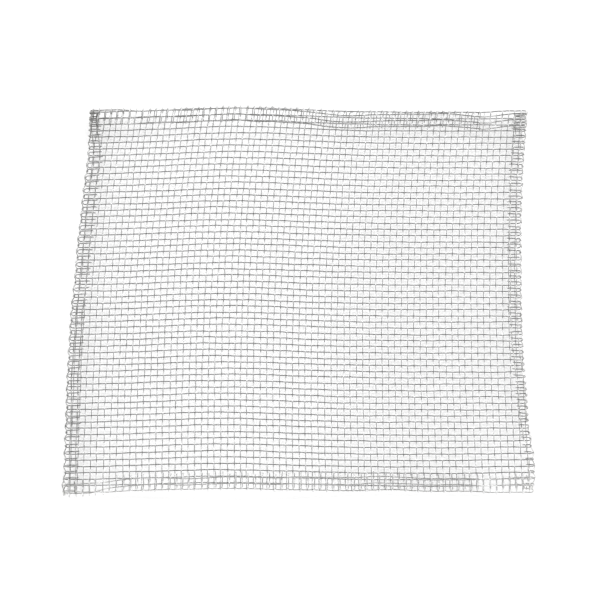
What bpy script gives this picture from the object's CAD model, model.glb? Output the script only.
"""Looks of the lab wire gauze: every woven wire as a swept tube, in the pale light of a studio.

Each wire is first laid out on the flat, unfolded cloth. The cloth is then folded over at its
left and right edges and after that at its front and back edges, and last it is racked and
rippled as a sheet that has been handled. The cloth and the camera's place are in millimetres.
The materials and the floor are in metres.
"""

import math

import bpy
import numpy as np
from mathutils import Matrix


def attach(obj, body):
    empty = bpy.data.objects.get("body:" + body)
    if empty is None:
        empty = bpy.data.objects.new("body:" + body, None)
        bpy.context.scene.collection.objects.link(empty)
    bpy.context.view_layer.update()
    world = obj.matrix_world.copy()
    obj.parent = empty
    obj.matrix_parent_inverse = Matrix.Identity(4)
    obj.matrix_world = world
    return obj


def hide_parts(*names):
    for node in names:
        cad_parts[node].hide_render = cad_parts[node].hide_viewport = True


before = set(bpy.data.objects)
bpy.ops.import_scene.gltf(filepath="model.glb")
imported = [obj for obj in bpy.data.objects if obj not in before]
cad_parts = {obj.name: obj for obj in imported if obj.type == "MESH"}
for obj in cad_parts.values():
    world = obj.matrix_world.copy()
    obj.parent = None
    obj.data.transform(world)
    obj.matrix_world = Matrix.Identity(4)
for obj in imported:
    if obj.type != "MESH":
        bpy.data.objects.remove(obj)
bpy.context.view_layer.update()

MM = 0.001
rng = np.random.default_rng(41)

# ---- The cloth, as the CAD model has it ----
WIRE_D = 0.27
WARP_PITCH = 1.41
WEFT_PITCH = 1.5912
WARP_COUNT = 70
WEFT_COUNT = 61
HEM_WIRES = 3
FOLD_LEAD = 0.2
# Places along X where the front and back hems start to climb onto the side hems, and are up
CLIMB_FOOT = 37.8
CLIMB_TOP = 44.4

# ---- The weave. The crests of a warp and a weft lie just over a wire's diameter apart ----
WARP_CREST = 0.255
WEFT_CREST = 0.03
# Height from each folded layer to the next
LAYER = 0.80
GROUND = WARP_CREST + WIRE_D / 2

LAST_X = (WARP_COUNT - 1) / 2 * WARP_PITCH
LAST_Y = (WEFT_COUNT - 1) / 2 * WEFT_PITCH
# The front and back edges weren't folded evenly, so between them the wefts sit this far back
WEFT_SLIP = 0.51

COLUMNS = np.arange(-HEM_WIRES, WARP_COUNT + HEM_WIRES)
ROWS = np.arange(-HEM_WIRES, WEFT_COUNT + HEM_WIRES)
END_A = LAST_X + (HEM_WIRES + 0.5) * WARP_PITCH
END_B = LAST_Y + (HEM_WIRES + 0.5) * WEFT_PITCH

# ---- The tubes ----
SIDES = 8
# Points along a wire in each pitch of the weave
WARP_SAMPLES = 5
WEFT_SAMPLES = 3
# Round a fold the samples lie TURN_STEP apart, from before its line to well past it
TURN_STEP = 0.16
BEFORE_FOLD = 0.6
PAST_FOLD = 4.2

# ---- Cut ends ----
# A wire is cut back by between these shares of a pitch. Below zero it isn't cut back at all
LEAST_CUT = -0.15
MOST_CUT = 0.3
# The last BEND_LENGTH of it, a share of a pitch too, is bent aside and up or down. A bend below
# the flat cloth stands up once the hem is turned over
BEND_LENGTH = 0.6
BEND_ASIDE = 0.09
BEND_LOWEST = -0.12
BEND_HIGHEST = 0.03

# ---- The cloth as it lies. HALF is half of its side ----
HALF = 49.5
# The middle lies to the left of the front and back edges, and the back to the right of the front
BOW = 1.63
SKEW_AT_ENDS = 0.44
SKEW = 0.025
# The wefts lie further apart towards the back, and the whole cloth lies a little to the front
SPREAD = 0.026
SPREAD_AT_ENDS = 0.008
FORWARD = 0.5
# One ripple runs from front to back and rises a little at the back edge. The front right corner
# curls up. EDGE_DEPTH is how far the rise and the curl reach in from the edge
RIPPLE_HEIGHT = 1.78
RIPPLE_X = -16
RIPPLE_WIDTH = 20.5
RIPPLE_RISE = 0.08
CURL_HEIGHT = 0.45
CURL_WIDTH = 11
EDGE_DEPTH = 14


# ---- Smooth curves and random wander ----
def bump(t, centre, width):
    return np.exp(-(((t - centre) / width) ** 2))


def smooth(t):
    t = np.clip(t, 0, 1)
    return t * t * (3 - 2 * t)


def wander(count, wavelengths, amplitude):
    """A smooth random function of a place for each of count wires or folds, of about that amplitude."""
    phases = rng.uniform(0, 2 * math.pi, (len(wavelengths), count))
    gains = rng.uniform(0.6, 1.4, (len(wavelengths), count))

    def value(index, place):
        total = 0
        for length, phase, gain in zip(wavelengths, phases, gains):
            total = total + gain[index] * np.sin(2 * math.pi * place / length + phase[index])
        return amplitude * total / math.sqrt(len(wavelengths))

    return value


# How far a wire usually lies out of its place. The wander's wavelengths and amplitudes are in
# millimetres too, apart from the amplitude of flap_open, which is in radians
WIRE_OFFSET = 0.035
column_shift = wander(len(COLUMNS), (47, 19, 8.3), 0.06)
row_shift = wander(len(ROWS), (53, 21, 9.1), 0.06)
column_offset = rng.normal(0, WIRE_OFFSET, len(COLUMNS))
row_offset = rng.normal(0, WIRE_OFFSET, len(ROWS))
fold_wobble = wander(4, (37, 17), 0.08)
flap_slide = wander(4, (61, 23, 9.7), 0.15)
flap_open = wander(4, (43, 17, 7.9), 0.03)

# ---- Hems, in the order left, right, front and back ----
LEFT, RIGHT, FRONT, BACK = range(4)
# Angle by which each hem stays open, in radians
OPENING = (0.05, 0.05, 0.04, 0.04)
# How far each hem lies shifted along its own fold, so that its wires show between those below
FLAP_SHIFT = (0.5, 0.3, 0.4, 0.6)
# How much tighter each hem is drawn round its fold where it climbs onto a side hem
TIGHTER = (0, 0, 0.7, 0.35)
# The side hems close and lie straight near a corner, over PRESSED_FADE from PRESSED short of the
# last weft. The front and back hems do so over CLIMB_FADE from the foot of their climb
PRESSED = 14
PRESSED_FADE = 8
CLIMB_FADE = 3


# ---- The folds ----
def side_line(side, b):
    """Distance from the middle at which the left or right fold starts, at a place along it."""
    line = LAST_X + FOLD_LEAD + fold_wobble(side, b)
    if side == LEFT:
        front_half = 0.3 * smooth((10 - b) / 16)
        back_flare = 1.1 * bump(b, LAST_Y, 8)
        return line + 0.4 + front_half + back_flare
    bulge = 0.6 * bump(b, -25, 14)
    front_flare = 1.3 * bump(b, -LAST_Y + 4, 9)
    return line + 0.7 + bulge + front_flare


def climb(x):
    """Share of the way that the front and back hems have climbed onto the side hems."""
    return smooth((np.abs(x) - CLIMB_FOOT) / (CLIMB_TOP - CLIMB_FOOT))


def end_line(side, x):
    """Distance from the middle at which the front or back fold starts, at a place along it."""
    line = LAST_Y + FOLD_LEAD + fold_wobble(side, x)
    if side == BACK:
        left_bulge = 0.2 * bump(x, -30, 25)
        middle_dent = 0.3 * bump(x, 8, 9)
        right_dent = 0.3 * bump(x, 40, 5)
        return line - 1.2 * climb(x) + left_bulge - middle_dent - right_dent
    left_flare = 0.6 * bump(x, -LAST_X, 8)
    middle_dent = 0.5 * bump(x, 19, 14)
    right_dent = 0.3 * bump(x, LAST_X, 5)
    return line + 0.6 + left_flare - middle_dent - right_dent


def turn_over(along, height, line, centre, wrap, opening):
    """Folds the edge of the cloth up and back over itself.

    along is measured outwards from the middle and height from the bottom layer. The fold starts
    at line, turns about the height centre, and stays open by a small angle. wrap is the length
    of cloth that each radian of the turn takes up. The last value is the share of a half turn.
    """
    past = along - line
    turn = np.clip(past / wrap, 0, math.pi - opening)
    flap = np.maximum(past - wrap * (math.pi - opening), 0)
    radius = centre - height
    out = line + np.minimum(past, 0) + radius * np.sin(turn) + flap * np.cos(turn)
    up = centre - radius * np.cos(turn) + flap * np.sin(turn)
    return out, up, turn / math.pi


def fold_cloth(a, b, lift):
    """Place of a point of the cloth once all four hems are folded.

    lift is its height over the weave's middle.
    """
    x, y, z = np.array(a), np.array(b), np.array(lift)
    pressed = smooth((np.abs(b) - LAST_Y + PRESSED) / PRESSED_FADE)
    for side, sign in ((LEFT, -1), (RIGHT, 1)):
        opening = (OPENING[side] + flap_open(side, b)) * (1 - pressed)
        line = side_line(side, b)
        out, up, turned = turn_over(sign * a, lift, line, LAYER / 2, LAYER / 2, opening)
        here = sign * a > 0
        slide = (FLAP_SHIFT[side] + flap_slide(side, b)) * turned * (1 - pressed)
        x = np.where(here, sign * out, x)
        y = np.where(here, y + slide, y)
        z = np.where(here, up, z)
    centre = LAYER * (0.5 + climb(x))
    climbed = smooth((np.abs(x) - CLIMB_FOOT) / CLIMB_FADE)
    for side, sign in ((FRONT, -1), (BACK, 1)):
        opening = (OPENING[side] + flap_open(side, x)) * (1 - climbed)
        wrap = centre - TIGHTER[side] * LAYER * climb(x)
        out, up, turned = turn_over(sign * y, z, end_line(side, x), centre, wrap, opening)
        here = sign * y > 0
        slide = (FLAP_SHIFT[side] + flap_slide(side, x)) * turned * (1 - climbed)
        x = np.where(here, x + slide, x)
        y = np.where(here, sign * out, y)
        z = np.where(here, up, z)
    return x, y, z


def lay_down(x, y, z):
    """Racks and ripples the folded cloth as it lies on the table."""
    ny = y / HALF
    racked_x = x - BOW * (1 - ny**2) + SKEW_AT_ENDS * ny**3 + SKEW * y
    stretched_y = y + (SPREAD * ny**2 + SPREAD_AT_ENDS * ny**3) * HALF - FORWARD
    rise = 1 + RIPPLE_RISE * bump(y, LAST_Y, EDGE_DEPTH)
    ripple = RIPPLE_HEIGHT * bump(x, RIPPLE_X, RIPPLE_WIDTH) * rise
    curl = CURL_HEIGHT * bump(x, LAST_X, CURL_WIDTH) * bump(y, -LAST_Y, EDGE_DEPTH)
    return racked_x, stretched_y, z + GROUND + ripple + curl


# ---- Wires ----
def samples(end, pitch, per_pitch, line):
    """Places along a wire of the cloth, closer together where it turns round a fold."""
    even = np.linspace(-end, end, int(round(2 * end / pitch * per_pitch)) + 1)
    turn = np.arange(line - BEFORE_FOLD, line + PAST_FOLD, TURN_STEP)
    middle = even[np.abs(even) < line - BEFORE_FOLD]
    tips = even[np.abs(even) > line + PAST_FOLD]
    places = np.concatenate([middle, turn, -turn, tips])
    return np.sort(places[np.abs(places) <= end])


def crossing_count(places, crossings):
    """Number of crossings passed at each place, as a number that runs smoothly between them."""
    index = np.arange(len(crossings))
    count = np.interp(places, crossings, index)
    before = (places - crossings[0]) / (crossings[1] - crossings[0])
    after = len(crossings) - 1 + (places - crossings[-1]) / (crossings[-1] - crossings[-2])
    return np.where(places < crossings[0], before, np.where(places > crossings[-1], after, count))


def cut_ends(places, pitch, end):
    """Places kept between a wire's two cuts, and the sideways and upward bend of its cut ends."""
    near = -end + rng.uniform(LEAST_CUT, MOST_CUT) * pitch
    far = end - rng.uniform(LEAST_CUT, MOST_CUT) * pitch
    kept = np.unique(np.clip(places, near, far))
    sideways, upwards = np.zeros(len(kept)), np.zeros(len(kept))
    for tip in (near, far):
        reach = np.clip(1 - np.abs(kept - tip) / (BEND_LENGTH * pitch), 0, 1) ** 2
        sideways += rng.normal(0, BEND_ASIDE) * reach
        upwards += rng.uniform(BEND_LOWEST, BEND_HIGHEST) * reach
    return kept, sideways, upwards


def warp_path(k):
    """Points along warp wire number k, once the cloth is folded."""
    column = COLUMNS[k]
    home = column * WARP_PITCH - LAST_X + column_offset[k]
    places = samples(END_B, WEFT_PITCH, WARP_SAMPLES, LAST_Y + FOLD_LEAD)
    b, sideways, upwards = cut_ends(places, WEFT_PITCH, END_B)
    crossings = ROWS * WEFT_PITCH - LAST_Y + WEFT_SLIP + row_offset
    crossings = crossings + np.array([row_shift(r, home) for r in range(len(ROWS))])
    phase = crossing_count(b, crossings) + ROWS[0] + column
    a = home + column_shift(k, b) + sideways
    return fold_cloth(a, b, -WARP_CREST * np.cos(math.pi * phase) + upwards)


def weft_path(k):
    """Points along weft wire number k, once the cloth is folded."""
    row = ROWS[k]
    home = row * WEFT_PITCH - LAST_Y + WEFT_SLIP + row_offset[k]
    places = samples(END_A, WARP_PITCH, WEFT_SAMPLES, LAST_X + FOLD_LEAD)
    a, sideways, upwards = cut_ends(places, WARP_PITCH, END_A)
    crossings = COLUMNS * WARP_PITCH - LAST_X + column_offset
    phase = crossing_count(a, crossings) + COLUMNS[0] + row
    b = home + row_shift(k, a) + sideways
    return fold_cloth(a, b, WEFT_CREST * np.cos(math.pi * phase) + upwards)


def tube(points, across):
    """Vertices, walls and end caps of a closed tube along points.

    across is a direction that the points never run in.
    """
    run = np.gradient(points, axis=0)
    run /= np.linalg.norm(run, axis=1)[:, None]
    side = across - (run @ across)[:, None] * run
    side /= np.linalg.norm(side, axis=1)[:, None]
    other = np.cross(run, side)
    angles = np.arange(SIDES) * 2 * math.pi / SIDES
    cosines = np.cos(angles)[None, :, None]
    sines = np.sin(angles)[None, :, None]
    ring = cosines * side[:, None, :] + sines * other[:, None, :]
    vertices = (points[:, None, :] + WIRE_D / 2 * ring).reshape(-1, 3)
    rings = np.arange(len(points) - 1)[:, None] * SIDES
    next_rings = rings + SIDES
    corner = np.arange(SIDES)[None, :]
    following = (corner + 1) % SIDES
    corners = [rings + corner, rings + following, next_rings + following, next_rings + corner]
    walls = np.stack(corners, -1)
    last = (len(points) - 1) * SIDES
    caps = [np.arange(SIDES)[::-1], last + np.arange(SIDES)]
    return vertices, walls.reshape(-1, 4), caps


def wire_piece(name, node, paths, across, material):
    """Makes one mesh object, with a tube for each path, that stands for one node of the CAD model."""
    vertices, faces, start = [], [], 0
    for path in paths:
        points = np.stack(lay_down(*path), -1)
        tube_vertices, walls, caps = tube(points, np.array(across, float))
        vertices.append(tube_vertices)
        faces += (walls + start).tolist() + [(cap + start).tolist() for cap in caps]
        start += len(tube_vertices)
    mesh = bpy.data.meshes.new(name)
    mesh.from_pydata((np.concatenate(vertices) * MM).tolist(), [], faces)
    mesh.shade_smooth()
    mesh.materials.append(material)
    piece = bpy.data.objects.new(name, mesh)
    bpy.context.scene.collection.objects.link(piece)
    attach(piece, "root")
    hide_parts(node)


# ---- Materials ----
def new_material(name):
    material = bpy.data.materials.new(name)
    material.use_nodes = True
    nodes, links = material.node_tree.nodes, material.node_tree.links
    return material, nodes, links, nodes["Principled BSDF"]


def noise(nodes, links, vector, scale, detail):
    texture = nodes.new("ShaderNodeTexNoise")
    texture.inputs["Scale"].default_value = scale
    texture.inputs["Detail"].default_value = detail
    links.new(vector, texture.inputs["Vector"])
    return texture.outputs["Fac"]


def ramp(nodes, links, factor, stops):
    node = nodes.new("ShaderNodeValToRGB")
    elements = node.color_ramp.elements
    for element, (place, colour) in zip(elements, stops):
        element.position = place
        element.color = (*colour, 1)
    links.new(factor, node.inputs["Fac"])
    return node.outputs["Color"]


def multiply(nodes):
    """A node that multiplies colour A by colour B."""
    node = nodes.new("ShaderNodeMix")
    node.data_type = "RGBA"
    node.blend_type = "MULTIPLY"
    return node


def math_node(nodes, links, operation, *values):
    node = nodes.new("ShaderNodeMath")
    node.operation = operation
    for socket, value in zip(node.inputs, values):
        if isinstance(value, (int, float)):
            socket.default_value = value
        else:
            links.new(value, socket)
    return node.outputs["Value"]


def step_node(nodes, links, value, low, high):
    """0 below low and 1 above high, with a smooth step between."""
    node = nodes.new("ShaderNodeMapRange")
    node.interpolation_type = "SMOOTHSTEP"
    node.inputs["From Min"].default_value = low
    node.inputs["From Max"].default_value = high
    links.new(value, node.inputs["Value"])
    return node.outputs["Result"]


# ---- Looks of the steel, by place in metres ----
SPANGLE_SCALE = 2600
DIE_MARK_SCALE = 9000
DIE_MARK_STRENGTH = 0.25
DIE_MARK_DEPTH = 0.00002
DULL = (0.72, 0.72, 0.70)
DULL_SHARE = 0.8
DULL_ROUGHNESS = 0.36
CLEAN_ROUGHNESS = 0.22
# The tarnish starts where y - x passes TARNISH_START, and it is full at TARNISH_FULL
TARNISH = (0.75, 0.75, 0.74)
TARNISH_START = 0.085
TARNISH_FULL = 0.097


def grey(level):
    return (level, level, level)


def steel_wire(name, grain, light, dark):
    """Drawn and galvanised steel: tone that changes from wire to wire, dull spangles and fine die marks.

    grain is how fast the tone changes along X, Y and Z. The wires are tarnished at the back left
    corner.
    """
    material, nodes, links, shader = new_material(name)
    place = nodes.new("ShaderNodeTexCoord").outputs["Object"]
    along = nodes.new("ShaderNodeMapping")
    along.inputs["Scale"].default_value = grain
    links.new(place, along.inputs["Vector"])
    tone = noise(nodes, links, along.outputs["Vector"], 1.0, 3)
    base = ramp(nodes, links, tone, [(0.32, dark), (0.62, light)])
    spangle = noise(nodes, links, place, SPANGLE_SCALE, 2)
    tint = ramp(nodes, links, spangle, [(0.35, DULL), (0.55, grey(1))])
    dulled = multiply(nodes)
    dulled.inputs["Factor"].default_value = DULL_SHARE
    links.new(base, dulled.inputs["A"])
    links.new(tint, dulled.inputs["B"])
    split = nodes.new("ShaderNodeSeparateXYZ")
    links.new(place, split.inputs["Vector"])
    to_corner = math_node(nodes, links, "SUBTRACT", split.outputs["Y"], split.outputs["X"])
    tarnish = step_node(nodes, links, to_corner, TARNISH_START, TARNISH_FULL)
    tarnished = multiply(nodes)
    tarnished.inputs["B"].default_value = (*TARNISH, 1)
    links.new(tarnish, tarnished.inputs["Factor"])
    links.new(dulled.outputs["Result"], tarnished.inputs["A"])
    links.new(tarnished.outputs["Result"], shader.inputs["Base Color"])
    rough = ramp(nodes, links, spangle, [(0.3, grey(DULL_ROUGHNESS)), (0.7, grey(CLEAN_ROUGHNESS))])
    links.new(rough, shader.inputs["Roughness"])
    marks = nodes.new("ShaderNodeBump")
    marks.inputs["Strength"].default_value = DIE_MARK_STRENGTH
    marks.inputs["Distance"].default_value = DIE_MARK_DEPTH
    links.new(noise(nodes, links, place, DIE_MARK_SCALE, 3), marks.inputs["Height"])
    links.new(marks.outputs["Normal"], shader.inputs["Normal"])
    shader.inputs["Metallic"].default_value = 1.0
    return material


WARP_GRAIN, WEFT_GRAIN, HEM_GRAIN = (700, 40, 60), (40, 700, 60), (300, 300, 300)
warp_steel = steel_wire("warp_steel", WARP_GRAIN, (0.90, 0.90, 0.91), grey(0.80))
weft_steel = steel_wire("weft_steel", WEFT_GRAIN, (0.64, 0.64, 0.65), grey(0.52))
dark_hem_steel = steel_wire("dark_hem_steel", HEM_GRAIN, grey(0.72), (0.46, 0.46, 0.45))
pale_hem_steel = steel_wire("pale_hem_steel", HEM_GRAIN, grey(0.95), (0.80, 0.80, 0.79))


# ---- Pieces: one for each node of the CAD model ----
def band(names, count, index):
    """Numbers, on the unfolded cloth, of the wires in one band of the main layer."""
    first = index * count // len(names)
    first_of_next = (index + 1) * count // len(names)
    return range(first + HEM_WIRES, first_of_next + HEM_WIRES)


ACROSS_WARPS, ACROSS_WEFTS = (1, 0, 0), (0, 1, 0)
warp_paths = [warp_path(k) for k in range(len(COLUMNS))]
weft_paths = [weft_path(k) for k in range(len(ROWS))]

warp_nodes = sorted(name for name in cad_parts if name.startswith("warp_wires"))
weft_nodes = sorted(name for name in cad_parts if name.startswith("weft_wires"))
for index, node in enumerate(warp_nodes):
    wires = [warp_paths[k] for k in band(warp_nodes, WARP_COUNT, index)]
    wire_piece("woven_" + node, node, wires, ACROSS_WARPS, warp_steel)
for index, node in enumerate(weft_nodes):
    wires = [weft_paths[k] for k in band(weft_nodes, WEFT_COUNT, index)]
    wire_piece("woven_" + node, node, wires, ACROSS_WEFTS, weft_steel)
hems = (
    ("left_hem_warps", warp_paths[:HEM_WIRES], ACROSS_WARPS, dark_hem_steel),
    ("right_hem_warps", warp_paths[-HEM_WIRES:], ACROSS_WARPS, pale_hem_steel),
    ("front_hem_wefts", weft_paths[:HEM_WIRES], ACROSS_WEFTS, pale_hem_steel),
    ("back_hem_wefts", weft_paths[-HEM_WIRES:], ACROSS_WEFTS, dark_hem_steel),
)
for node, wires, across, steel in hems:
    wire_piece("woven_" + node, node, wires, across, steel)

# ---- Studio ----
# The floor glows as a light table does. Its half side and the gap under the cloth are in metres
GLOW = 0.54
FLOOR_HALF = 1.5
FLOOR_GAP = 0.00002
# The room is dim overhead. Seen from the cloth, a direction's X and Z are shares of its length:
# the walls brighten from WALL_START to WALL_FULL, and the low light fades from LOW_FULL to LOW_END
DIM = 0.02
BRIGHT = 1.30
WALL_START = 0.5
WALL_FULL = 0.85
LOW_FULL = 0.4
LOW_END = 0.7
# Two lamps shine down from the back, one from each side. Their angles are in degrees
LAMP = 0.4
LAMP_WIDTH = 20
LAMP_TILT = -45
LAMP_TURN = 40
# The camera's height over the table is in degrees, and its distance and aim in millimetres
ELEVATION = 60.05
DISTANCE = 670
AIM = (-0.9, -0.65, GROUND)
LENS = 180.4
SENSOR = 36


def studio_floor():
    mesh = bpy.data.meshes.new("floor")
    corners = [(-1, -1), (1, -1), (1, 1), (-1, 1)]
    vertices = [(x * FLOOR_HALF, y * FLOOR_HALF, -FLOOR_GAP) for x, y in corners]
    mesh.from_pydata(vertices, [], [(0, 1, 2, 3)])
    material, _, _, shader = new_material("white_floor")
    shader.inputs["Base Color"].default_value = (*grey(0.9), 1)
    shader.inputs["Roughness"].default_value = 0.9
    shader.inputs["Specular IOR Level"].default_value = 0.1
    shader.inputs["Emission Color"].default_value = (*grey(1), 1)
    shader.inputs["Emission Strength"].default_value = GLOW
    mesh.materials.append(material)
    floor = bpy.data.objects.new("floor", mesh)
    bpy.context.scene.collection.objects.link(floor)


def studio_light():
    """A room that is dim overhead and bright at its sides and low down all round, and two soft lamps."""
    world = bpy.data.worlds.new("studio")
    world.use_nodes = True
    nodes, links = world.node_tree.nodes, world.node_tree.links
    split = nodes.new("ShaderNodeSeparateXYZ")
    links.new(nodes.new("ShaderNodeTexCoord").outputs["Generated"], split.inputs["Vector"])
    sideways = math_node(nodes, links, "ABSOLUTE", split.outputs["X"])
    walls = step_node(nodes, links, sideways, WALL_START, WALL_FULL)
    overhead = step_node(nodes, links, split.outputs["Z"], LOW_FULL, LOW_END)
    low = math_node(nodes, links, "SUBTRACT", 1.0, overhead)
    bright = math_node(nodes, links, "MAXIMUM", walls, low)
    level = math_node(nodes, links, "MULTIPLY_ADD", bright, BRIGHT - DIM, DIM)
    nodes["Background"].inputs["Color"].default_value = (*grey(1), 1)
    links.new(level, nodes["Background"].inputs["Strength"])
    bpy.context.scene.world = world
    for name, turn in (("lamp_left", LAMP_TURN), ("lamp_right", -LAMP_TURN)):
        sun = bpy.data.lights.new(name, "SUN")
        sun.energy = LAMP
        sun.angle = math.radians(LAMP_WIDTH)
        lamp = bpy.data.objects.new(name, sun)
        lamp.rotation_euler = (math.radians(LAMP_TILT), 0, math.radians(turn))
        bpy.context.scene.collection.objects.link(lamp)


def camera():
    """Looks at the gauze from the front, 60 degrees above the table."""
    elevation = math.radians(ELEVATION)
    data = bpy.data.cameras.new("camera")
    data.sensor_width = SENSOR
    data.lens = LENS
    lens = bpy.data.objects.new("camera", data)
    back = np.array([0, -math.cos(elevation), math.sin(elevation)])
    lens.location = (np.array(AIM) + back * DISTANCE) * MM
    lens.rotation_euler = (math.pi / 2 - elevation, 0, 0)
    bpy.context.scene.collection.objects.link(lens)
    bpy.context.scene.camera = lens


studio_floor()
studio_light()
camera()
bpy.context.scene.view_settings.view_transform = "Standard"
